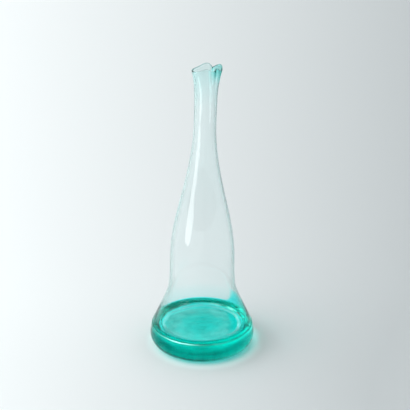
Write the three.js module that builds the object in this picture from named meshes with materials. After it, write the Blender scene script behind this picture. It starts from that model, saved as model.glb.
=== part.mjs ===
// A free-blown glass vase: a thin-walled body with a drawn neck and a hand-pinched mouth,
// fused into the cup of a thick, round-shouldered glass base.
// Lengths are millimetres, angles are degrees, +Z is up, and the foot stands on z = 0.
import * as THREE from 'three';

// Outside of the base
const FOOT_RING_WIDTH = 5;       // flat ring that it stands on
const BULGE_OVERHANG = 12.9;     // widest radius less the foot's outer radius
const BULGE_RISE = 13;           // foot to the widest point
const BULGE_RADIUS = 54.9;
const RIDGE_RISE = 10.2;         // widest point to the seam of base and body, a soft ridge
const RIDGE_RADIUS = 53.4;
const RIDGE_SLOPE = -0.06;       // just under the ridge
const RIDGE_ROUND = 2;           // height in which the ridge is rounded over

// Outside of the body, section by section upwards: rise, radius at its top, slope there
const SKIRT_FOOT_SLOPE = -0.48;  // just over the ridge
const SKIRT_RISE = 20.8;
const SKIRT_RADIUS = 43.8;
const SKIRT_SLOPE = -0.46;
const WAIST_RISE = 28;
const WAIST_RADIUS = 34.3;
const WAIST_SLOPE = -0.07;
const BELLY_RISE = 28;
const BELLY_RADIUS = 33.4;
const BELLY_SLOPE = -0.01;
const SHOULDER_RISE = 65;
const SHOULDER_RADIUS = 23.2;
const SHOULDER_SLOPE = -0.24;
const NECK_RISE = 85;
const NECK_RADIUS = 11.2;
const NECK_SLOPE = 0.02;
const FLARE_RISE = 50;
const FLARE_RADIUS = 15.1;
const FLARE_SLOPE = 0.28;
const CREASE_LIFT = 1.7;         // a shallow crease runs round just over the seam
const CREASE_DEPTH = 0.6;
const CREASE_WIDTH = 0.8;
const LEAN = 5;                  // the neck was drawn a little off the axis

// Inside
const WALL = 0.9;                // of the belly and the shoulder's foot, measured level
const HEEL_WALL = 1.8;           // over the heel, from where it thins out to the belly's
const HEEL_FADE = 24;
const NECK_WALL = 1.4;           // drawn thicker up to the top of the neck
const FLOOR_DROP = 2.4;          // inside floor, below the seam
const FLOOR_CROWN = 0.5;         // the floor is a little higher in the middle
const RIM_THICKNESS = 11;        // glass between the floor's rim and the ridge
const RIM_WIDTH = 4.4;           // the floor turns up to a raised rim
const RIM_RISE = 1.4;
const HEEL_WIDTH = 1.6;          // a steep step from the rim up to the heel
const HEEL_STEP = 2;
const HEEL_RISE = 5.6;           // height over the floor in which the heel thins out to the wall

// Joint of the body and the base
const BUBBLE_FLOOR = 3.5;        // thickness of the body's own floor
const SEAT_GAP = 0.3;

// Underside
const RECESS_DEPTH = 0.25;       // ground almost flat
const PONTIL_RADIUS = 8;         // polished mark where the rod was cracked off
const PONTIL_DEPTH = 0.3;

// Mouth
const LIP_THICKNESS = 2.8;       // fire-polished bead
const LIP_SWELL = 30;            // height in which the wall thickens to the bead
const MOUTH_WORK = 24;           // height that the pinching reaches down from the mouth

// How the soft mouth was pinched: bearing seen from above, half width, push out, lift
const MOUTH_WAVES = [
  { bearing: 54, spread: 16, push: -4.7, lift: -0.4 },
  { bearing: -35, spread: 13, push: -2, lift: 3.1 },
  { bearing: -92, spread: 40, push: -4.6, lift: 3.4 },
  { bearing: 28, spread: 24, push: 0.8, lift: 4 },
  { bearing: 91, spread: 24, push: 0.4, lift: 3 },
];

// Facets
const SIDES = 64;
const SECTION_STEPS = 4;
const CREASE_STEPS = 8;
const ROUND_STEPS = 5;
const LIP_STEPS = 6;
const RING_SPACE = 1;            // least height from the heel to the first ring over it

// Stations of the outside, from the widest point to the mouth; slope is that of the section under it
const STATIONS = [
  { rise: BULGE_RISE, radius: BULGE_RADIUS, slope: 0 },
  { rise: RIDGE_RISE, radius: RIDGE_RADIUS, slope: RIDGE_SLOPE, slopeOver: SKIRT_FOOT_SLOPE },
  { rise: SKIRT_RISE, radius: SKIRT_RADIUS, slope: SKIRT_SLOPE },
  { rise: WAIST_RISE, radius: WAIST_RADIUS, slope: WAIST_SLOPE },
  { rise: BELLY_RISE, radius: BELLY_RADIUS, slope: BELLY_SLOPE },
  { rise: SHOULDER_RISE, radius: SHOULDER_RADIUS, slope: SHOULDER_SLOPE },
  { rise: NECK_RISE, radius: NECK_RADIUS, slope: NECK_SLOPE },
  { rise: FLARE_RISE, radius: FLARE_RADIUS, slope: FLARE_SLOPE },
];
let stacked = 0;
for (const station of STATIONS) {
  stacked += station.rise;
  station.height = stacked;
}
const SEAM_HEIGHT = BULGE_RISE + RIDGE_RISE;
const MOUTH_HEIGHT = stacked;

const { sin, cos, exp, sqrt, max, PI } = Math;

// Radius between two stations, as a cubic that meets both radii and both slopes
function sectionRadius(lower, upper, z) {
  const length = upper.height - lower.height;
  const t = (z - lower.height) / length;
  const start = lower.slopeOver ?? lower.slope;
  const fromLower = (2 * t ** 3 - 3 * t ** 2 + 1) * lower.radius + (t ** 3 - 2 * t ** 2 + t) * length * start;
  const fromUpper = (3 * t ** 2 - 2 * t ** 3) * upper.radius + (t ** 3 - t ** 2) * length * upper.slope;
  return fromLower + fromUpper;
}

// The outside with a sharp ridge and no crease: an elliptic round under the widest point, then the sections
function formRadius(z) {
  const foot = BULGE_RADIUS - BULGE_OVERHANG;
  if (z < BULGE_RISE) {
    return foot + BULGE_OVERHANG * sqrt(1 - (1 - z / BULGE_RISE) ** 2);
  }
  const next = max(1, STATIONS.findIndex((station) => station.height >= z));
  return sectionRadius(STATIONS[next - 1], STATIONS[next], z);
}

// The outside with its ridge rounded over and the crease drawn in
function outerRadius(z) {
  const near = max(0, RIDGE_ROUND / 2 - Math.abs(z - SEAM_HEIGHT));
  const rounding = ((RIDGE_SLOPE - SKIRT_FOOT_SLOPE) * near ** 2) / (2 * RIDGE_ROUND);
  const crease = CREASE_DEPTH * exp(-(((z - SEAM_HEIGHT - CREASE_LIFT) / CREASE_WIDTH) ** 2));
  return formRadius(z) - rounding - crease;
}

const floorHeight = SEAM_HEIGHT - FLOOR_DROP;
const heelHeight = floorHeight + HEEL_RISE;
const rimRadius = RIDGE_RADIUS - RIM_THICKNESS;
const floorRadius = rimRadius - RIM_WIDTH;
const heelRadius = formRadius(heelHeight) - HEEL_WALL;

// The seat halves the glass between the heel's step and the ridge
const seatFloorHeight = floorHeight - BUBBLE_FLOOR;
const seatRadius = (rimRadius + HEEL_WIDTH / 2 + outerRadius(SEAM_HEIGHT)) / 2;

// The wall thins out over the heel, thickens again up the neck and swells to a bead at the lip
function wallAt(z) {
  const heel = (HEEL_WALL - WALL) * max(0, 1 - (z - heelHeight) / HEEL_FADE) ** 2;
  const neckTop = MOUTH_HEIGHT - FLARE_RISE;
  const shoulderFoot = neckTop - NECK_RISE - SHOULDER_RISE;
  const neck = (NECK_WALL - WALL) * THREE.MathUtils.smoothstep(z, shoulderFoot, neckTop);
  const lip = (LIP_THICKNESS - NECK_WALL) * max(0, 1 - (MOUTH_HEIGHT - z) / LIP_SWELL) ** 2;
  return WALL + heel + neck + lip;
}

// Quarter round from a level line at its bottom to an upright line at its top
function quarterRound(centreRadius, topHeight, width, depth) {
  const points = [];
  for (let step = 0; step <= ROUND_STEPS; step += 1) {
    const angle = (step / ROUND_STEPS) * (PI / 2);
    points.push(new THREE.Vector2(centreRadius + width * sin(angle), topHeight - depth * cos(angle)));
  }
  return points;
}

// Cup of the joint; the base's cup is larger all round by the gap
function seatRound(gap) {
  const width = seatRadius - floorRadius + gap;
  const depth = SEAM_HEIGHT - seatFloorHeight + gap;
  return quarterRound(floorRadius, SEAM_HEIGHT, width, depth);
}

// Heights of the rings on the body's wall, close together where the outline turns fast
function wallHeights() {
  const heights = [];
  const creaseTop = SEAM_HEIGHT + CREASE_LIFT + 2 * CREASE_WIDTH;
  for (let step = 0; step < CREASE_STEPS; step += 1) {
    heights.push(SEAM_HEIGHT + (step / CREASE_STEPS) * (creaseTop - SEAM_HEIGHT));
  }
  let from = creaseTop;
  for (const station of STATIONS.slice(2)) {
    const steps = station.height === MOUTH_HEIGHT ? 2 * SECTION_STEPS : SECTION_STEPS;
    for (let step = 0; step < steps; step += 1) {
      heights.push(from + (step / steps) * (station.height - from));
    }
    from = station.height;
  }
  heights.push(MOUTH_HEIGHT);
  return heights;
}

// Rounded bead over the mouth, from the outside to the inside
function lipRound() {
  const bead = wallAt(MOUTH_HEIGHT) / 2;
  const centre = formRadius(MOUTH_HEIGHT) - bead;
  const points = [];
  for (let step = 1; step < LIP_STEPS; step += 1) {
    const angle = (step / LIP_STEPS) * PI;
    points.push(new THREE.Vector2(centre + bead * cos(angle), MOUTH_HEIGHT + bead * sin(angle)));
  }
  return points;
}

// Lip waves and lean: where a point of the plain turned form goes in the drawn and pinched one
function workMouth(x, y, z) {
  const radius = Math.hypot(x, y);
  const bearing = THREE.MathUtils.radToDeg(Math.atan2(y, x));
  const reach = max(0, 1 - (MOUTH_HEIGHT - z) / MOUTH_WORK) ** 2;
  let push = 0;
  let lift = 0;
  for (const wave of MOUTH_WAVES) {
    const away = THREE.MathUtils.euclideanModulo(bearing - wave.bearing + 180, 360) - 180;
    const share = exp(-((away / wave.spread) ** 2));
    push += wave.push * share;
    lift += wave.lift * share;
  }
  const widen = radius > 0 ? 1 + (reach * push) / radius : 1;
  const drawn = max(0, (z - SEAM_HEIGHT) / (MOUTH_HEIGHT - SEAM_HEIGHT));
  return new THREE.Vector3(x * widen + LEAN * drawn ** 2, y * widen, z + reach * lift);
}

// Turns an outline of (radius, height) points about the upright axis
function turned(outline) {
  const geometry = new THREE.LatheGeometry(outline, SIDES);
  geometry.rotateX(PI / 2);
  const position = geometry.getAttribute('position');
  for (let index = 0; index < position.count; index += 1) {
    const point = workMouth(position.getX(index), position.getY(index), position.getZ(index));
    position.setXYZ(index, point.x, point.y, point.z);
  }
  geometry.computeVertexNormals();
  return geometry;
}

// Height of the inside floor
function floorAt(radius) {
  return floorHeight + FLOOR_CROWN * (1 - (radius / floorRadius) ** 2);
}

function blownBodyOutline() {
  const heights = wallHeights();
  const outline = [new THREE.Vector2(0, seatFloorHeight), ...seatRound(0)];
  for (const z of heights) {
    outline.push(new THREE.Vector2(outerRadius(z), z));
  }
  outline.push(...lipRound());
  for (const z of heights.filter((height) => height > heelHeight + RING_SPACE).reverse()) {
    outline.push(new THREE.Vector2(formRadius(z) - wallAt(z), z));
  }
  outline.push(new THREE.Vector2(heelRadius, heelHeight));
  outline.push(new THREE.Vector2(rimRadius + HEEL_WIDTH, floorHeight + RIM_RISE + HEEL_STEP));
  outline.push(new THREE.Vector2(rimRadius, floorHeight + RIM_RISE));
  for (const radius of [floorRadius, floorRadius / 2, 0]) {
    outline.push(new THREE.Vector2(radius, floorAt(radius)));
  }
  return outline;
}

// Height of the hollow underside, with the pontil mark in its middle
function undersideHeight(radius, recessRadius) {
  const dome = RECESS_DEPTH * (1 - (radius / recessRadius) ** 2);
  const mark = radius < PONTIL_RADIUS ? PONTIL_DEPTH * (1 - (radius / PONTIL_RADIUS) ** 2) : 0;
  return dome + mark;
}

function heavyBaseOutline() {
  const footRadius = BULGE_RADIUS - BULGE_OVERHANG;
  const recessRadius = footRadius - FOOT_RING_WIDTH;
  const outline = [];
  for (let step = 0; step < 2; step += 1) {
    const radius = (step / 2) * PONTIL_RADIUS;
    outline.push(new THREE.Vector2(radius, undersideHeight(radius, recessRadius)));
  }
  for (let step = 0; step <= SECTION_STEPS; step += 1) {
    const radius = PONTIL_RADIUS + (step / SECTION_STEPS) * (recessRadius - PONTIL_RADIUS);
    outline.push(new THREE.Vector2(radius, undersideHeight(radius, recessRadius)));
  }
  outline.push(...quarterRound(footRadius, BULGE_RISE, BULGE_OVERHANG, BULGE_RISE));
  const ridgeStart = SEAM_HEIGHT - RIDGE_ROUND / 2;
  for (let step = 1; step <= SECTION_STEPS; step += 1) {
    const z = BULGE_RISE + (step / SECTION_STEPS) * (ridgeStart - BULGE_RISE);
    outline.push(new THREE.Vector2(outerRadius(z), z));
  }
  outline.push(new THREE.Vector2(outerRadius(SEAM_HEIGHT - RIDGE_ROUND / 4), SEAM_HEIGHT - RIDGE_ROUND / 4));
  outline.push(new THREE.Vector2(outerRadius(SEAM_HEIGHT), SEAM_HEIGHT));
  outline.push(...seatRound(SEAT_GAP).reverse());
  outline.push(new THREE.Vector2(0, seatFloorHeight - SEAT_GAP));
  return outline;
}

function blownBody() {
  const glass = new THREE.MeshStandardMaterial({ color: 0xcfe4e1, roughness: 0.04, metalness: 0 });
  glass.transparent = true;
  glass.opacity = 0.35;
  const mesh = new THREE.Mesh(turned(blownBodyOutline()), glass);
  mesh.name = 'blown_body';
  return mesh;
}

function heavyBase() {
  const glass = new THREE.MeshStandardMaterial({ color: 0x08a495, roughness: 0.04, metalness: 0 });
  glass.transparent = true;
  glass.opacity = 0.6;
  const mesh = new THREE.Mesh(turned(heavyBaseOutline()), glass);
  mesh.name = 'heavy_base';
  return mesh;
}

const vase = new THREE.Group();
vase.add(heavyBase(), blownBody());

export default vase;
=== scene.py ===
import math

import bpy
import numpy as np
from mathutils import Matrix, Vector


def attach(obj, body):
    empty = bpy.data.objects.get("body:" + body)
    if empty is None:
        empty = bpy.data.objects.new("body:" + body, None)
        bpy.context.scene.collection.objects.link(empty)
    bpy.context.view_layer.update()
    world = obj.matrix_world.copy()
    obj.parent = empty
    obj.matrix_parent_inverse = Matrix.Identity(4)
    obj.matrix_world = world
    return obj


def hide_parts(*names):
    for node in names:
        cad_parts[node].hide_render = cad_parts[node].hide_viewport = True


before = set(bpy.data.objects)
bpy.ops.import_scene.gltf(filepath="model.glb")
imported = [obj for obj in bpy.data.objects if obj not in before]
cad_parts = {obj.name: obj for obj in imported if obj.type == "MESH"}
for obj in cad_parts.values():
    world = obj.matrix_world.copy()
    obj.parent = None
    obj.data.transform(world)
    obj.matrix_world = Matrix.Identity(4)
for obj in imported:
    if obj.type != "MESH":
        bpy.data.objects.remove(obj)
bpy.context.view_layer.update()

MM = 0.001
PHOTO_WIDTH = 410

# Outside of the base, in millimetres
FOOT_RING_WIDTH = 5.0
FOOT_EDGE = 0.8
BULGE_OVERHANG = 12.9
BULGE_RISE = 13.0
BULGE_RADIUS = 54.9
RIDGE_RISE = 10.2
RIDGE_RADIUS = 53.4
RIDGE_SLOPE = -0.06
RIDGE_ROUND = 2.0

# Outside of the body, section by section upwards:
# rise, radius at its top, slope under its top, slope over its top
SKIRT_FOOT_SLOPE = -0.48
SECTIONS = [
    (BULGE_RISE, BULGE_RADIUS, 0.0, 0.0),
    (RIDGE_RISE, RIDGE_RADIUS, RIDGE_SLOPE, SKIRT_FOOT_SLOPE),
    (20.8, 43.8, -0.46, -0.46),
    (28.0, 34.3, -0.07, -0.07),
    (28.0, 33.4, -0.01, -0.01),
    (65.0, 23.2, -0.24, -0.24),
    (85.0, 11.2, 0.02, 0.02),
    (50.0, 15.1, 0.28, 0.28),
]
CREASE_LIFT = 1.7
CREASE_DEPTH = 0.6
CREASE_WIDTH = 0.8
LEAN = 5.0

# Inside: the floor turns up to a raised rim, then a step leads to the heel and the wall
WALL = 0.9
HEEL_WALL = 1.8
HEEL_FADE = 24.0
NECK_WALL = 1.4
FLOOR_DROP = 2.4
FLOOR_CROWN = 0.5
RIM_THICKNESS = 11.0
RIM_WIDTH = 4.4
RIM_RISE = 1.4
HEEL_WIDTH = 1.6
HEEL_STEP = 2.0
HEEL_RISE = 5.6
RIM_ROUNDS = (0.5, 0.4, 0.8, 1.0)

# Underside
RECESS_DEPTH = 0.25
PONTIL_RADIUS = 8.0
PONTIL_DEPTH = 0.3

# Mouth: how it was pinched while soft, as (bearing and half width in degrees, push out, lift)
LIP_THICKNESS = 1.6
LIP_SWELL = 30.0
MOUTH_WORK = 24.0
MOUTH_WAVES = [
    (54.0, 16.0, -4.7, -0.4),
    (-35.0, 13.0, -2.0, 3.1),
    (-92.0, 40.0, -4.6, 3.4),
    (28.0, 24.0, 0.8, 4.0),
    (91.0, 24.0, 0.4, 3.0),
]

# Fineness of the glass mesh
SIDES = 192
RING_STEP = 1.0
FINE_STEP = 0.15
BULGE_START = 0.12
BULGE_POINTS = 24
RECESS_POINTS = 30
BEAD_POINTS = 13
ARC_POINTS = 9
FLOOR_POINTS = 40
SMALLEST_RADIUS = 1e-6

# Cores inside the base and the lip, in millimetres: each lies a little inside the vase's surface
# and thins out between its full height and its end
CORE_INSET = 0.06
CORE_FULL = 42.0
CORE_TOP = 50.0
CORE_MOST_FADE = 0.95
LIP_CORE_FULL = 292.0
LIP_CORE_FOOT = 262.0
LIP_CORE_LEAST = 0.02
LIP_CORE_POINTS = 40

# Glass: absorption in a metre, for red, green and blue; the cores add theirs to the vase's
GLASS_IOR = 1.5
PALE_LOSS = (36.0, 3.0, 4.0)
TEAL_LOSS = (110.0, 0.5, 1.3)
LIP_LOSS = (75.0, 11.0, 12.0)
CLEAR = (1.0, 1.0, 1.0)

# From here to the camera, heights and radii are in metres. Across is -1 on the left of the axis and
# 1 on its right; depth is -1 in front of it and 1 behind it. A pair is where a soft rise starts and
# where it is full.
AXIS_GUARD = 1e-5
NOISE_DETAIL = 3.0
NOISE_ROUGHNESS = 0.6
STREAK_TURN = 1.6

# Colour sockets of Blender's Mix node
MIX_FIRST = 6
MIX_SECOND = 7
MIX_RESULT = 2

# Mirror images are weakened on and over the thick base, where the photograph hardly shows any; at a
# glancing angle they stay
CALM_HEIGHT = (0.1, 0.06)
CALM_FACING = 3.5

# Fine waves in the surface
WAVE_TURN = 2.4
WAVE_CLIMB = 11.0
WAVE_HEIGHT = 0.0003

# Painted shade: a thin dark outline, weaker on the base, and a fine dark line on top of the lip
OUTLINE_GLANCE = (0.5, 0.95)
OUTLINE_SHARE = 0.28
OUTLINE_HEIGHT = (0.035, 0.07)
OUTLINE_BASE = 0.5
OUTLINE_COLOUR = (0.25, 0.5, 0.48)
LIP_LINE_TILT = (0.3, 0.8)
LIP_LINE_HEIGHT = (0.285, 0.292)
LIP_LINE_DEPTH = (-0.2, 0.3)
LIP_LINE_NEAR = 0.2
LIP_LINE_FAR = 0.8

# Painted highlight: a bright line along the ridge, fainter at the far left and to the right
SHINE_TINT = (0.6, 1.0, 0.98)
SHINE_ROUGHNESS = 0.12
EDGE_HEIGHT = 0.0237
EDGE_WIDTH = 0.0006
EDGE_RADIUS = (0.047, 0.049)
EDGE_SHINE = 0.6
EDGE_RIGHT = (0.6, -0.4)
EDGE_RIGHT_FADE = 0.1
EDGE_LEFT = (-0.9, -0.4)
EDGE_LEFT_FADE = 0.3

# Painted sheen on the inside floor and its rim
INSIDE_LOW = (0.0185, 0.0195)
INSIDE_HIGH = (0.0245, 0.0232)
INSIDE_RADIUS = (0.0445, 0.0435)
SHEEN_STREAKS = 260.0
SHEEN_CLOUDS = 110.0
SHEEN_STREAK_PART = 0.5
SHEEN_NOISE = (0.36, 0.64)
SHEEN_RADIUS = (0.012, 0.034)
SHEEN_FLOOR = 0.2
RIM_INNER = (0.0365, 0.0405)
RIM_OUTER = (0.043, 0.0405)
RIM_NOISE = (0.3, 0.6)
RIM_LEAST = 0.4
SHEEN_RIM = 0.5

# Tint of the base's core: deeper behind, as painted shade, and in the middle of the bottom, and
# gone above the seam, later at the back right
TEAL_TINT = (0.35, 1.0, 0.98)
BACK_TINT = (0.1, 1.0, 0.98)
BACK_DEPTH = (-0.1, 0.3)
BOTTOM_HEIGHT = (0.004, 0.002)
MIDDLE_RADIUS = (0.03, 0.01)
TINT_TOP = 0.0262
TINT_END = 0.0285
TINT_RISE = 0.014
TINT_RISE_STRETCH = 1.6
TINT_RISE_ACROSS = (0.5, 0.9)
TINT_RISE_DEPTH = (-0.6, 0.0)

# Striae of the base's core over painted shade: the lower side is darkened in upright threads,
# higher at the left and right by the square of across, and turned streaks run across the bottom
STRIA_AND_SHADE_TINT = (0.03, 0.22, 0.22)
THREAD_TURN = 48.0
THREAD_CLIMB = 30.0
THREAD_NOISE = (0.44, 0.58)
SIDE_SHADE_LEAST = 0.85
SIDE_SHADE_LEAST_FRONT = 0.65
THREAD_FRONT = (-0.6, -0.95)
THREAD_HEIGHT = (0.019, 0.0145)
THREAD_RISE = 0.0045
THREAD_RISE_SQUARE = (0.1, 0.6)
THREAD_RISE_RADIUS = (0.047, 0.05)
BOTTOM_STREAKS = 200.0
BOTTOM_CLOUDS = 70.0
BOTTOM_STREAK_PART = 0.45
BOTTOM_NOISE = (0.4, 0.62)
BOTTOM_SHARE = 0.25

# Deeper tint where the lip is folded thick, on the right
LOBE_TINT = (0.5, 0.9, 0.88)
LOBE_HEIGHT = (0.286, 0.303)
LOBE_ACROSS = (0.45, 0.9)

# Camera, in metres and degrees
CAMERA_PLACE = (0.0032, -1.209, 0.670)
CAMERA_DOWN = 22.97
CAMERA_FOCAL_PIXELS = 1285.0
SENSOR_WIDTH = 36.0

# Table: a matt white sheet with painted shade, darker to the right away from the light on the left,
# in lines that fan out from a point behind the camera, and a little darker in front. Its colour is
# lifted in a ring round the foot, a painted caustic that stands for the light the base throws
# there.
TABLE_HALF = 6.0
TABLE_DROP = 0.0001
TABLE_ROUGHNESS = 0.7
TABLE_SPECULAR = 0.1
TABLE_LEFT = (0.955, 0.985, 0.99)
TABLE_RIGHT = (0.545, 0.575, 0.585)
TABLE_FAN = 1.493
TABLE_FAN_LEAST = 0.8
TABLE_FADE = 0.15
TABLE_FRONT = (0.15, -0.12)
TABLE_FRONT_SHADE = 0.1
GLOW_SHIFT = 0.003
GLOW_INNER = (0.046, 0.053)
GLOW_OUTER = (0.065, 0.053)
GLOW_SHARE = 0.8
GLOW_COLOUR = (0.93, 1.0, 0.995)

# Room: brightness of the sky by elevation in degrees, behind the object and on the camera's side.
# A bearing is in degrees, turns from the camera's side and is positive to the right.
SKY_COLOUR = (0.97, 0.995, 1.0)
SKY_BACK = [(0.0, 0.45), (12.0, 0.55), (20.0, 1.1), (32.0, 1.1), (45.0, 0.5), (90.0, 0.5)]
SKY_FRONT = [(0.0, 0.35), (7.0, 0.4), (12.0, 1.1), (32.0, 1.1), (45.0, 0.5), (90.0, 0.5)]
SKY_TURN = 0.5
SKY_SIDE = 0.3
WINDOW = {"bearing": -75.0, "height": 52.0, "spread": 45.0}
WINDOW_STRENGTH = 1.78
PERSON = {"bearing": 8.0, "height": 24.0, "spread": 28.0}
PERSON_SHADE = 0.85
LOW_PANEL = {
    "bearing": -57.0,
    "near": 0.57,
    "far": 1.25,
    "low": 0.03,
    "high": 0.325,
    "width": 0.42,
    "power": 1.9,
}

# Light paths: glass needs many
GLASS_BOUNCES = 32
MIRROR_BOUNCES = 16

HEIGHTS = np.cumsum([section[0] for section in SECTIONS])
RADII = np.array([section[1] for section in SECTIONS])
SLOPES_UNDER = np.array([section[2] for section in SECTIONS])
SLOPES_OVER = np.array([section[3] for section in SECTIONS])
MOUTH_HEIGHT = float(HEIGHTS[-1])
SEAM_HEIGHT = BULGE_RISE + RIDGE_RISE
FOOT_RADIUS = BULGE_RADIUS - BULGE_OVERHANG
RECESS_RADIUS = FOOT_RADIUS - FOOT_RING_WIDTH
FLOOR_HEIGHT = SEAM_HEIGHT - FLOOR_DROP
HEEL_HEIGHT = FLOOR_HEIGHT + HEEL_RISE
RIM_RADIUS = RIDGE_RADIUS - RIM_THICKNESS
FLOOR_RADIUS = RIM_RADIUS - RIM_WIDTH
NECK_TOP = float(HEIGHTS[-2])
SHOULDER_FOOT = float(HEIGHTS[-4])


def form_radius(z):
    """Outside radius with a sharp ridge and no crease: an elliptic round, then cubic sections."""
    z = np.asarray(z, float)
    lower = np.clip(np.searchsorted(HEIGHTS, z, side="left") - 1, 0, len(HEIGHTS) - 2)
    length = HEIGHTS[lower + 1] - HEIGHTS[lower]
    t = np.clip((z - HEIGHTS[lower]) / length, 0, 1)
    from_lower = (2 * t**3 - 3 * t**2 + 1) * RADII[lower]
    from_lower += (t**3 - 2 * t**2 + t) * length * SLOPES_OVER[lower]
    from_upper = (3 * t**2 - 2 * t**3) * RADII[lower + 1]
    from_upper += (t**3 - t**2) * length * SLOPES_UNDER[lower + 1]
    under = np.clip(1 - z / BULGE_RISE, 0, 1)
    bulge = FOOT_RADIUS + BULGE_OVERHANG * np.sqrt(1 - under**2)
    return np.where(z < BULGE_RISE, bulge, from_lower + from_upper)


def outer_radius(z):
    """The outside with its ridge rounded over and the crease drawn in."""
    near = np.clip(RIDGE_ROUND / 2 - np.abs(z - SEAM_HEIGHT), 0, None)
    rounding = (RIDGE_SLOPE - SKIRT_FOOT_SLOPE) * near**2 / (2 * RIDGE_ROUND)
    crease = CREASE_DEPTH * np.exp(-(((z - SEAM_HEIGHT - CREASE_LIFT) / CREASE_WIDTH) ** 2))
    return form_radius(z) - rounding - crease


def wall_at(z):
    """The wall thins out over the heel, thickens up the neck and swells to a bead at the lip."""
    heel = (HEEL_WALL - WALL) * np.clip(1 - (z - HEEL_HEIGHT) / HEEL_FADE, 0, 1) ** 2
    rise = np.clip((z - SHOULDER_FOOT) / (NECK_TOP - SHOULDER_FOOT), 0, 1)
    neck = (NECK_WALL - WALL) * rise**2 * (3 - 2 * rise)
    lip = (LIP_THICKNESS - NECK_WALL) * np.clip(1 - (MOUTH_HEIGHT - z) / LIP_SWELL, 0, None) ** 2
    return WALL + heel + neck + lip


def underside_outline():
    """From the axis to the foot's outer edge: pontil mark, hollow, flat ring."""
    radius = np.linspace(0, RECESS_RADIUS, RECESS_POINTS)
    dome = RECESS_DEPTH * (1 - (radius / RECESS_RADIUS) ** 2)
    mark = PONTIL_DEPTH * np.clip(1 - (radius / PONTIL_RADIUS) ** 2, 0, None)
    hollow = np.stack([radius, dome + mark], 1)
    ring = [(RECESS_RADIUS + FOOT_RING_WIDTH / 2, 0.0), (FOOT_RADIUS - FOOT_EDGE, 0.0)]
    return np.vstack([hollow, ring])


def wall_heights():
    """Heights of the outside's rings, close together at the ridge and the crease."""
    bulge = BULGE_RISE - BULGE_RISE * np.cos(np.linspace(BULGE_START, math.pi / 2, BULGE_POINTS))
    joint_foot = SEAM_HEIGHT - RIDGE_ROUND
    lower = np.arange(BULGE_RISE + RING_STEP, joint_foot, RING_STEP)
    joint = np.arange(joint_foot, SEAM_HEIGHT + CREASE_LIFT + 3 * CREASE_WIDTH, FINE_STEP)
    upper = np.arange(joint[-1] + RING_STEP, MOUTH_HEIGHT - RING_STEP / 2, RING_STEP)
    return np.concatenate([bulge, lower, joint, upper, [MOUTH_HEIGHT]])


def bead_points(centre, radius):
    """Half circle over the mouth's height, from the outside to the inside, without its two ends."""
    angle = np.linspace(0, math.pi, BEAD_POINTS)[1:-1]
    return np.stack([centre + radius * np.cos(angle), MOUTH_HEIGHT + radius * np.sin(angle)], 1)


def lip_outline():
    bead = float(wall_at(MOUTH_HEIGHT)) / 2
    return bead_points(float(form_radius(MOUTH_HEIGHT)) - bead, bead)


def corner_arc(before, corner, after, radius):
    """Points of the arc that rounds a corner, held inside half of each side."""
    back = (before - corner) / np.linalg.norm(before - corner)
    ahead = (after - corner) / np.linalg.norm(after - corner)
    half_angle = math.acos(float(np.clip(back @ ahead, -1, 1))) / 2
    sides = min(np.linalg.norm(before - corner), np.linalg.norm(after - corner)) / 2
    reach = min(radius / math.tan(half_angle), sides)
    radius = reach * math.tan(half_angle)
    middle = (back + ahead) / np.linalg.norm(back + ahead)
    centre = corner + middle * radius / math.sin(half_angle)
    turn = math.pi / 2 - half_angle
    across = np.array([-middle[1], middle[0]])
    across *= math.copysign(1, across @ back)
    angle = np.linspace(turn, -turn, ARC_POINTS)[:, None]
    return centre + radius * (across * np.sin(angle) - middle * np.cos(angle))


def inside_outline():
    """From the mouth down the wall, over the heel, its step and the rim, and across the floor."""
    z = np.arange(MOUTH_HEIGHT, HEEL_HEIGHT + 2 * RING_STEP, -RING_STEP)
    wall = np.stack([form_radius(z) - wall_at(z), z], 1)
    heel = np.array([
        wall[-1],
        (float(form_radius(HEEL_HEIGHT)) - HEEL_WALL, HEEL_HEIGHT),
        (RIM_RADIUS + HEEL_WIDTH, FLOOR_HEIGHT + RIM_RISE + HEEL_STEP),
        (RIM_RADIUS, FLOOR_HEIGHT + RIM_RISE),
        (FLOOR_RADIUS, FLOOR_HEIGHT),
        (0.0, FLOOR_HEIGHT + 2 * FLOOR_CROWN),
    ])
    pieces = [wall[:-1]]
    for place, radius in enumerate(reversed(RIM_ROUNDS), start=1):
        pieces.append(corner_arc(heel[place - 1], heel[place], heel[place + 1], radius))
    edge = float(pieces[-1][-1][0])
    radius = np.linspace(edge, 0, FLOOR_POINTS)[1:]
    crown = FLOOR_CROWN * (1 - (radius / FLOOR_RADIUS) ** 2)
    pieces.append(np.stack([radius, FLOOR_HEIGHT + crown], 1))
    return np.vstack(pieces)


def glass_outline():
    """The whole vase, from the middle of the underside round the lip to the middle of the floor."""
    z = wall_heights()
    outside = np.stack([outer_radius(z), z], 1)
    return np.vstack([underside_outline(), outside, lip_outline(), inside_outline()])


def work_mouth(x, y, z):
    """Where a point of the turned form goes in the drawn, leaning and pinched one."""
    radius = np.hypot(x, y)
    bearing = np.degrees(np.arctan2(y, x))
    reach = np.clip(1 - (MOUTH_HEIGHT - z) / MOUTH_WORK, 0, None) ** 2
    push = np.zeros_like(x)
    lift = np.zeros_like(x)
    for at, spread, wave_push, wave_lift in MOUTH_WAVES:
        away = (bearing - at + 180) % 360 - 180
        share = np.exp(-((away / spread) ** 2))
        push += wave_push * share
        lift += wave_lift * share
    widen = 1 + reach * push / np.maximum(radius, SMALLEST_RADIUS)
    drawn = np.clip((z - SEAM_HEIGHT) / (MOUTH_HEIGHT - SEAM_HEIGHT), 0, None)
    return x * widen + LEAN * drawn**2, y * widen, z + reach * lift


def turned_points(outline):
    """An outline's points turned about the axis and worked at the mouth, by rings, in metres."""
    turn = np.arange(SIDES) * 2 * math.pi / SIDES
    x = outline[:, :1] * np.cos(turn)
    y = outline[:, :1] * np.sin(turn)
    z = np.repeat(outline[:, 1:], SIDES, 1)
    return np.stack(work_mouth(x, y, z), 2).reshape(-1, 3) * MM


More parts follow.
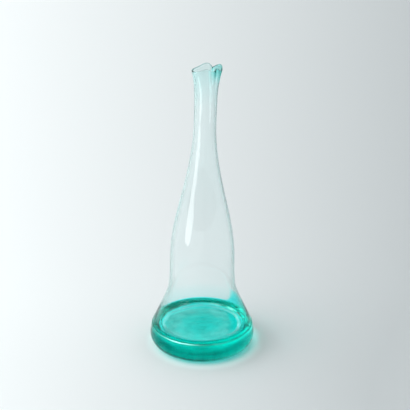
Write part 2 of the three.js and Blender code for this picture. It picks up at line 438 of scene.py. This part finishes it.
def ring_faces(rings, closed):
    faces = []
    for ring in range(rings if closed else rings - 1):
        above = (ring + 1) % rings
        for side in range(SIDES):
            beside = (side + 1) % SIDES
            corners = (ring, side), (ring, beside), (above, beside), (above, side)
            faces.append([row * SIDES + column for row, column in corners])
    return faces


def smooth_mesh(name, points, faces):
    mesh = bpy.data.meshes.new(name)
    mesh.from_pydata(points.tolist(), [], faces)
    mesh.polygons.foreach_set("use_smooth", [True] * len(faces))
    mesh.update()
    return mesh


def turned_mesh(name, outline):
    """Closed mesh of an outline that starts and ends on the axis."""
    rings = outline[1:-1]
    ends = np.array([[0, 0, outline[0, 1]], [0, 0, outline[-1, 1]]]) * MM
    points = np.vstack([turned_points(rings), ends])
    faces = ring_faces(len(rings), closed=False)
    first = len(points) - 2
    last = (len(rings) - 1) * SIDES
    for side in range(SIDES):
        beside = (side + 1) % SIDES
        faces.append((first, beside, side))
        faces.append((first + 1, last + side, last + beside))
    return smooth_mesh(name, points, faces)


def turned_ring(name, outline):
    """Closed mesh of an outline that comes back to its start, clear of the axis."""
    return smooth_mesh(name, turned_points(outline), ring_faces(len(outline), closed=True))


def core_outline():
    """The base's glass just inside the vase's surface, until it thins out in the skirt's wall."""
    outline = glass_outline()
    turn = int(np.argmax(outline[:, 1]))
    outside = outline[:turn]
    outside = outside[outside[:, 1] < CORE_TOP]
    inside = outline[turn:]
    inside = inside[inside[:, 1] < CORE_TOP]
    fade = np.clip((outside[:, 1] - CORE_FULL) / (CORE_TOP - CORE_FULL), 0, CORE_MOST_FADE)
    outside = inset(outside)
    outside[:, 0] -= fade * (WALL - 2 * CORE_INSET)
    return np.vstack([outside, inset(inside)])


def inset(line):
    """A line moved into the glass, which lies on its left."""
    along = np.gradient(line, axis=0)
    along /= np.linalg.norm(along, axis=1)[:, None]
    moved = line + CORE_INSET * np.stack([-along[:, 1], along[:, 0]], 1)
    moved[:, 0] = np.where(line[:, 0] == 0, 0, moved[:, 0])
    return moved


def lip_core_outline():
    """Closed ring just inside the lip's surface that thins out down the neck."""
    z = np.linspace(LIP_CORE_FOOT, MOUTH_HEIGHT, LIP_CORE_POINTS)
    share = np.clip((z - LIP_CORE_FOOT) / (LIP_CORE_FULL - LIP_CORE_FOOT), LIP_CORE_LEAST, 1)
    half = (wall_at(z) / 2 - CORE_INSET) * share
    middle = form_radius(z) - wall_at(z) / 2
    outside = np.stack([middle + half, z], 1)
    inside = np.stack([middle - half, z], 1)[::-1]
    return np.vstack([outside, bead_points(float(middle[-1]), float(half[-1])), inside])


class Field:
    """A shader value that takes Python arithmetic; each operation adds a Math node."""

    def __init__(self, tree, socket):
        self.tree = tree
        self.socket = socket

    def node(self, kind, *values, output=0, **settings):
        """Adds any node, fed with this value and then the others; None leaves a socket alone."""
        made = self.tree.nodes.new(kind)
        for setting, value in settings.items():
            setattr(made, setting, value)
        for slot, value in zip(made.inputs, (self, *values)):
            feed(self.tree, slot, value)
        return Field(self.tree, made.outputs[output])

    def math(self, operation, *values):
        return self.node("ShaderNodeMath", *values, operation=operation)

    def __add__(self, other):
        return self.math("ADD", other)

    def __mul__(self, other):
        return self.math("MULTIPLY", other)

    def __rmul__(self, other):
        return self.math("MULTIPLY", other)

    def __sub__(self, other):
        return self.math("SUBTRACT", other)

    def __rsub__(self, other):
        return self.math("MULTIPLY_ADD", -1.0, other)

    def __truediv__(self, other):
        return self.math("DIVIDE", other)

    def __pow__(self, other):
        return self.math("POWER", other)


def feed(tree, slot, value):
    """Links a value into a socket, or sets a constant on it."""
    if value is None:
        return
    if isinstance(value, Field):
        tree.links.new(value.socket, slot)
    else:
        slot.default_value = value


def coordinates(tree, output):
    """Three values of the Texture Coordinate node's output, split."""
    place = tree.nodes.new("ShaderNodeTexCoord")
    split = tree.nodes.new("ShaderNodeSeparateXYZ")
    tree.links.new(place.outputs[output], split.inputs[0])
    return [Field(tree, socket) for socket in split.outputs]


def clear_material(name, tint, ior, loss):
    """Smooth clear glass that takes its colour from a tint at its surface and from its depth."""
    material = bpy.data.materials.new(name)
    material.use_nodes = True
    tree = material.node_tree
    surface = tree.nodes["Principled BSDF"]
    surface.inputs["Base Color"].default_value = (*tint, 1)
    surface.inputs["Roughness"].default_value = 0.0
    surface.inputs["IOR"].default_value = ior
    surface.inputs["Transmission Weight"].default_value = 1.0
    depth = tree.nodes.new("ShaderNodeVolumeAbsorption")
    most = max(loss)
    depth.inputs["Color"].default_value = (*[1 - channel / most for channel in loss], 1)
    depth.inputs["Density"].default_value = most
    tree.links.new(depth.outputs[0], tree.nodes["Material Output"].inputs["Volume"])
    return material


def add_shader(tree, kind, **values):
    shader = tree.nodes.new(kind)
    for slot, value in values.items():
        shader.inputs[slot].default_value = value
    return shader.outputs[0]


def mix_shaders(tree, share, first, second):
    mix = tree.nodes.new("ShaderNodeMixShader")
    feed(tree, mix.inputs[0], share)
    tree.links.new(first, mix.inputs[1])
    tree.links.new(second, mix.inputs[2])
    return mix.outputs[0]


def polar(tree):
    """Across and depth, radius and height of a place in the object's own frame, in metres."""
    x, y, z = coordinates(tree, "Object")
    radius = (x * x + y * y).math("SQRT")
    guarded = radius + AXIS_GUARD
    return x / guarded, y / guarded, radius, z


def ramp(value, start, end, low=0.0, high=1.0):
    """Soft rise from low at the start to high at the end."""
    settings = {"interpolation_type": "SMOOTHSTEP"}
    return value.node("ShaderNodeMapRange", start, end, low, high, **settings)


def noise(x, y, z):
    """Cloudy value about 0.5 at a place given by three values."""
    place = x.node("ShaderNodeCombineXYZ", y, z)
    return place.node("ShaderNodeTexNoise", None, 1.0, NOISE_DETAIL, NOISE_ROUGHNESS)


def turned_streaks(across, depth, radius, fineness):
    """Noise in streaks that run round the axis."""
    return noise(across * STREAK_TURN, depth * STREAK_TURN, radius * fineness)


def flat_clouds(across, depth, radius, fineness):
    """Noise in clouds that lie flat, the same at every height."""
    return noise(across * radius * fineness, depth * radius * fineness, 0.0)


def mix_colours(share, first, second):
    """From the first colour to the second; the first may be a colour socket."""
    tree = share.tree
    mix = tree.nodes.new("ShaderNodeMix")
    mix.data_type = "RGBA"
    feed(tree, mix.inputs["Factor"], share)
    if isinstance(first, tuple):
        mix.inputs[MIX_FIRST].default_value = (*first, 1)
    else:
        tree.links.new(first, mix.inputs[MIX_FIRST])
    mix.inputs[MIX_SECOND].default_value = (*second, 1)
    return mix.outputs[MIX_RESULT]


def wave_normal(tree, height):
    """Normal of a surface raised by a height in metres."""
    bump = tree.nodes.new("ShaderNodeBump")
    bump.inputs["Strength"].default_value = 1.0
    bump.inputs["Distance"].default_value = 1.0
    feed(tree, bump.inputs["Height"], height)
    return bump.outputs[0]


def painted_floor_sheen(across, depth, radius, z):
    """Where a sheen is painted on the floor: not in the middle, in faint streaks further out, and
    on its rim.
    """
    streaks = turned_streaks(across, depth, radius, SHEEN_STREAKS)
    clouds = flat_clouds(across, depth, radius, SHEEN_CLOUDS)
    mixed = streaks * SHEEN_STREAK_PART + clouds * (1 - SHEEN_STREAK_PART)
    floor = SHEEN_FLOOR * ramp(radius, *SHEEN_RADIUS) * ramp(mixed, *SHEEN_NOISE)
    rim = ramp(radius, *RIM_INNER) * ramp(radius, *RIM_OUTER) * SHEEN_RIM
    rim = rim * ramp(streaks, *RIM_NOISE, RIM_LEAST, 1.0)
    inside = ramp(z, *INSIDE_LOW) * ramp(z, *INSIDE_HIGH) * ramp(radius, *INSIDE_RADIUS)
    return (floor + rim) * inside


def ridge_line(across, radius, z):
    """Where a highlight is painted on the ridge: in a thin line, brightest a little to the left."""
    away = (z - EDGE_HEIGHT) / EDGE_WIDTH
    line = (1 - away * away).math("MAXIMUM", 0.0) * ramp(radius, *EDGE_RADIUS)
    line = line * ramp(across, *EDGE_RIGHT, EDGE_SHINE * EDGE_RIGHT_FADE, EDGE_SHINE)
    return line * ramp(across, *EDGE_LEFT, EDGE_LEFT_FADE, 1.0)


def dark_lines(tree, depth, z):
    """Where shade is painted on the glass: along its outline, less on the base, and on top of the
    lip.
    """
    glance = Field(tree, tree.nodes.new("ShaderNodeLayerWeight").outputs["Facing"])
    outline = ramp(glance, *OUTLINE_GLANCE, 0.0, OUTLINE_SHARE)
    outline = outline * ramp(z, *OUTLINE_HEIGHT, OUTLINE_BASE, 1.0)
    _, _, up = coordinates(tree, "Normal")
    lip = ramp(up, *LIP_LINE_TILT) * ramp(z, *LIP_LINE_HEIGHT)
    lip = lip * ramp(depth, *LIP_LINE_DEPTH, LIP_LINE_NEAR, LIP_LINE_FAR)
    return outline.math("MAXIMUM", lip)


def calm_share(tree, z):
    """Share of plain refraction, which has no mirror images: full low down, none at a glance."""
    fresnel = tree.nodes.new("ShaderNodeFresnel")
    fresnel.inputs["IOR"].default_value = GLASS_IOR
    facing = (1 - Field(tree, fresnel.outputs[0])) ** CALM_FACING
    return ramp(z, *CALM_HEIGHT) * facing


def finish_skin(material):
    """Gives the vase's glass its calm base, waves, painted dark lines, painted ridge highlight and
    painted floor sheen.
    """
    tree = material.node_tree
    across, depth, radius, z = polar(tree)
    glass = tree.nodes["Principled BSDF"]
    through = add_shader(tree, "ShaderNodeBsdfRefraction", Roughness=0.0, IOR=GLASS_IOR)
    waves = noise(across * WAVE_TURN, depth * WAVE_TURN, z * WAVE_CLIMB) * WAVE_HEIGHT
    for slot in (glass.inputs["Normal"], through.node.inputs["Normal"]):
        tree.links.new(wave_normal(tree, waves), slot)
    skin = mix_shaders(tree, calm_share(tree, z), glass.outputs[0], through)
    outer_side = 1 - Field(tree, tree.nodes.new("ShaderNodeNewGeometry").outputs["Backfacing"])
    # Painted shade: a dark diffuse mixed in along the outline and on top of the lip
    dark = add_shader(tree, "ShaderNodeBsdfDiffuse", Color=(*OUTLINE_COLOUR, 1))
    skin = mix_shaders(tree, dark_lines(tree, depth, z) * outer_side, skin, dark)
    # Painted highlight and sheen: a shiny shader mixed in on the ridge line and the inside floor
    shine = add_shader(
        tree, "ShaderNodeBsdfAnisotropic", Color=(*SHINE_TINT, 1), Roughness=SHINE_ROUGHNESS
    )
    bright = ridge_line(across, radius, z) + painted_floor_sheen(across, depth, radius, z)
    skin = mix_shaders(tree, bright * outer_side, skin, shine)
    tree.links.new(skin, tree.nodes["Material Output"].inputs["Surface"])


def side_threads_and_shade(across, depth, radius, z):
    """Painted shade on the base's lower side, in upright threads, thinner in front and higher at
    the left and right.
    """
    threads = noise(across * THREAD_TURN, depth * THREAD_TURN, z * THREAD_CLIMB)
    least = ramp(depth, *THREAD_FRONT, SIDE_SHADE_LEAST, SIDE_SHADE_LEAST_FRONT)
    rise = ramp(across * across, *THREAD_RISE_SQUARE, 0.0, THREAD_RISE)
    height = z - rise * ramp(radius, *THREAD_RISE_RADIUS)
    return ramp(threads, *THREAD_NOISE, least, 1.0) * ramp(height, *THREAD_HEIGHT)


def bottom_streaks(across, depth, radius):
    """Turned streaks and clouds across the bottom."""
    streaks = turned_streaks(across, depth, radius, BOTTOM_STREAKS)
    clouds = flat_clouds(across, depth, radius, BOTTOM_CLOUDS)
    mixed = streaks * BOTTOM_STREAK_PART + clouds * (1 - BOTTOM_STREAK_PART)
    return ramp(mixed, *BOTTOM_NOISE)


def tint_core(material):
    """Gives the base's core its tint, which differs behind as painted shade, under and above, and
    its striae over painted shade on the lower side.
    """
    tree = material.node_tree
    across, depth, radius, z = polar(tree)
    bottom = ramp(z, *BOTTOM_HEIGHT)
    # Painted shade: the tint is deeper behind
    back = ramp(depth, *BACK_DEPTH) * (1 - bottom)
    middle = ramp(radius, *MIDDLE_RADIUS) * bottom
    tint = mix_colours(back + middle, TEAL_TINT, BACK_TINT)
    rise = ramp(across, *TINT_RISE_ACROSS, 0.0, TINT_RISE) * ramp(depth, *TINT_RISE_DEPTH)
    above = ramp(z - rise, TINT_TOP, rise * TINT_RISE_STRETCH + TINT_END)
    tint = mix_colours(above, tint, CLEAR)
    # Striae with painted shade: the lower side is darkened in threads
    side = side_threads_and_shade(across, depth, radius, z) * (1 - bottom) * (1 - back)
    under = bottom_streaks(across, depth, radius) * bottom * BOTTOM_SHARE
    tint = mix_colours(under + side, tint, STRIA_AND_SHADE_TINT)
    tree.links.new(tint, tree.nodes["Principled BSDF"].inputs["Base Color"])


def tint_lobe(material):
    """Deepens the tint of the lip where it is folded thick, on the right."""
    tree = material.node_tree
    across, _, _, z = polar(tree)
    lobe = ramp(z, *LOBE_HEIGHT) * ramp(across, *LOBE_ACROSS)
    tint = mix_colours(lobe, CLEAR, LOBE_TINT)
    tree.links.new(tint, tree.nodes["Principled BSDF"].inputs["Base Color"])


def add_object(name, data):
    item = bpy.data.objects.new(name, data)
    bpy.context.scene.collection.objects.link(item)
    return item


def make_vase():
    vase = add_object("vase_glass", turned_mesh("vase_glass", glass_outline()))
    material = clear_material("pale_glass", CLEAR, GLASS_IOR, PALE_LOSS)
    finish_skin(material)
    vase.data.materials.append(material)
    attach(vase, "root")
    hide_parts("blown_body")


def make_core():
    core = add_object("base_glass", turned_mesh("base_glass", core_outline()))
    material = clear_material("teal_glass", TEAL_TINT, 1.0, TEAL_LOSS)
    tint_core(material)
    core.data.materials.append(material)
    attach(core, "root")
    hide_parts("heavy_base")


def make_lip_core():
    core = add_object("lip_glass", turned_ring("lip_glass", lip_core_outline()))
    material = clear_material("lip_teal_glass", CLEAR, 1.0, LIP_LOSS)
    tint_lobe(material)
    core.data.materials.append(material)
    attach(core, "root")


def make_table():
    half = TABLE_HALF
    corners = [(-half, -half, 0), (half, -half, 0), (half, half, 0), (-half, half, 0)]
    mesh = bpy.data.meshes.new("table")
    mesh.from_pydata(corners, [], [(0, 1, 2, 3)])
    material = bpy.data.materials.new("table_white")
    material.use_nodes = True
    tree = material.node_tree
    surface = tree.nodes["Principled BSDF"]
    surface.inputs["Roughness"].default_value = TABLE_ROUGHNESS
    surface.inputs["Specular IOR Level"].default_value = TABLE_SPECULAR
    x, y, _ = coordinates(tree, "Object")
    # Painted shade: darker to the right and a little darker in front
    fan = x / (y + TABLE_FAN).math("ABSOLUTE").math("MAXIMUM", TABLE_FAN_LEAST)
    shade = fan.node("ShaderNodeMapRange", -TABLE_FADE, TABLE_FADE, 0.0, 1.0)
    shade = shade + ramp(y, *TABLE_FRONT, 0.0, TABLE_FRONT_SHADE)
    pale = mix_colours(shade, TABLE_LEFT, TABLE_RIGHT)
    right = x - GLOW_SHIFT
    radius = (right * right + y * y).math("SQRT")
    glow = ramp(radius, *GLOW_INNER) * ramp(radius, *GLOW_OUTER) * GLOW_SHARE
    tree.links.new(mix_colours(glow, pale, GLOW_COLOUR), surface.inputs["Base Color"])
    mesh.materials.append(material)
    table = add_object("table", mesh)
    table.location.z = -TABLE_DROP


def sky_ramp(sine, stops):
    """Brightness by elevation, from the sine of the elevation."""
    brightness = (sine * 0.5 + 0.5).node("ShaderNodeValToRGB")
    elements = brightness.socket.node.color_ramp.elements
    elements.remove(elements[1])
    elements[0].position = 0.0
    elements[0].color = (0, 0, 0, 1)
    for elevation, level in stops:
        stop = elements.new((math.sin(math.radians(elevation)) + 1) / 2)
        stop.color = (level, level, level, 1)
    return brightness


def outward(bearing):
    """Level direction away from the axis."""
    angle = math.radians(bearing)
    return Vector((math.sin(angle), -math.cos(angle), 0))


def round_patch(direction, bearing, height, spread):
    """One at a bearing and height in the sky, softly down to zero at the spread around it."""
    height = math.radians(height)
    centre = outward(bearing) * math.cos(height) + Vector((0, 0, math.sin(height)))
    towards = direction[0] * centre.x + direction[1] * centre.y + direction[2] * centre.z
    return ramp(towards, math.cos(math.radians(spread)), 1.0)


def make_room():
    world = bpy.data.worlds.new("soft_room")
    bpy.context.scene.world = world
    world.use_nodes = True
    tree = world.node_tree
    x, y, z = coordinates(tree, "Generated")
    back = sky_ramp(z, SKY_BACK)
    front = sky_ramp(z, SKY_FRONT)
    sky = (front + (back - front) * ramp(y, -SKY_TURN, SKY_TURN)) * (1 - x * SKY_SIDE)
    sky = sky * (1 - round_patch((x, y, z), **PERSON) * PERSON_SHADE)
    sky = sky + round_patch((x, y, z), **WINDOW) * WINDOW_STRENGTH
    background = tree.nodes["Background"]
    background.inputs["Color"].default_value = (*SKY_COLOUR, 1)
    feed(tree, background.inputs["Strength"], sky)


def make_slanted_panel(name, bearing, near, far, low, high, width, power):
    """Elliptical lamp that climbs from a near, low end to a far, high one; it faces the object."""
    out = outward(bearing)
    run = out * (far - near) + Vector((0, 0, high - low))
    across = Vector((0, 0, 1)).cross(out)
    along = run.normalized()
    lamp = bpy.data.lights.new(name, "AREA")
    lamp.shape = "ELLIPSE"
    lamp.size = width
    lamp.size_y = run.length
    lamp.energy = power
    item = add_object(name, lamp)
    item.location = out * (near + far) / 2 + Vector((0, 0, (high + low) / 2))
    item.rotation_euler = Matrix((across, along, across.cross(along))).transposed().to_euler()
    item.visible_camera = False


def make_camera():
    data = bpy.data.cameras.new("camera")
    data.sensor_width = SENSOR_WIDTH
    data.lens = CAMERA_FOCAL_PIXELS / PHOTO_WIDTH * SENSOR_WIDTH
    camera = add_object("camera", data)
    camera.location = CAMERA_PLACE
    camera.rotation_euler = (math.radians(90 - CAMERA_DOWN), 0, 0)
    bpy.context.scene.camera = camera


make_camera()
make_vase()
make_core()
make_lip_core()
make_table()
make_room()
make_slanted_panel("low_panel", **LOW_PANEL)

scene = bpy.context.scene
scene.view_settings.view_transform = "Standard"
scene.cycles.max_bounces = GLASS_BOUNCES
scene.cycles.transmission_bounces = GLASS_BOUNCES
scene.cycles.glossy_bounces = MIRROR_BOUNCES
scene.cycles.blur_glossy = 0.0

bpy.context.view_layer.update()
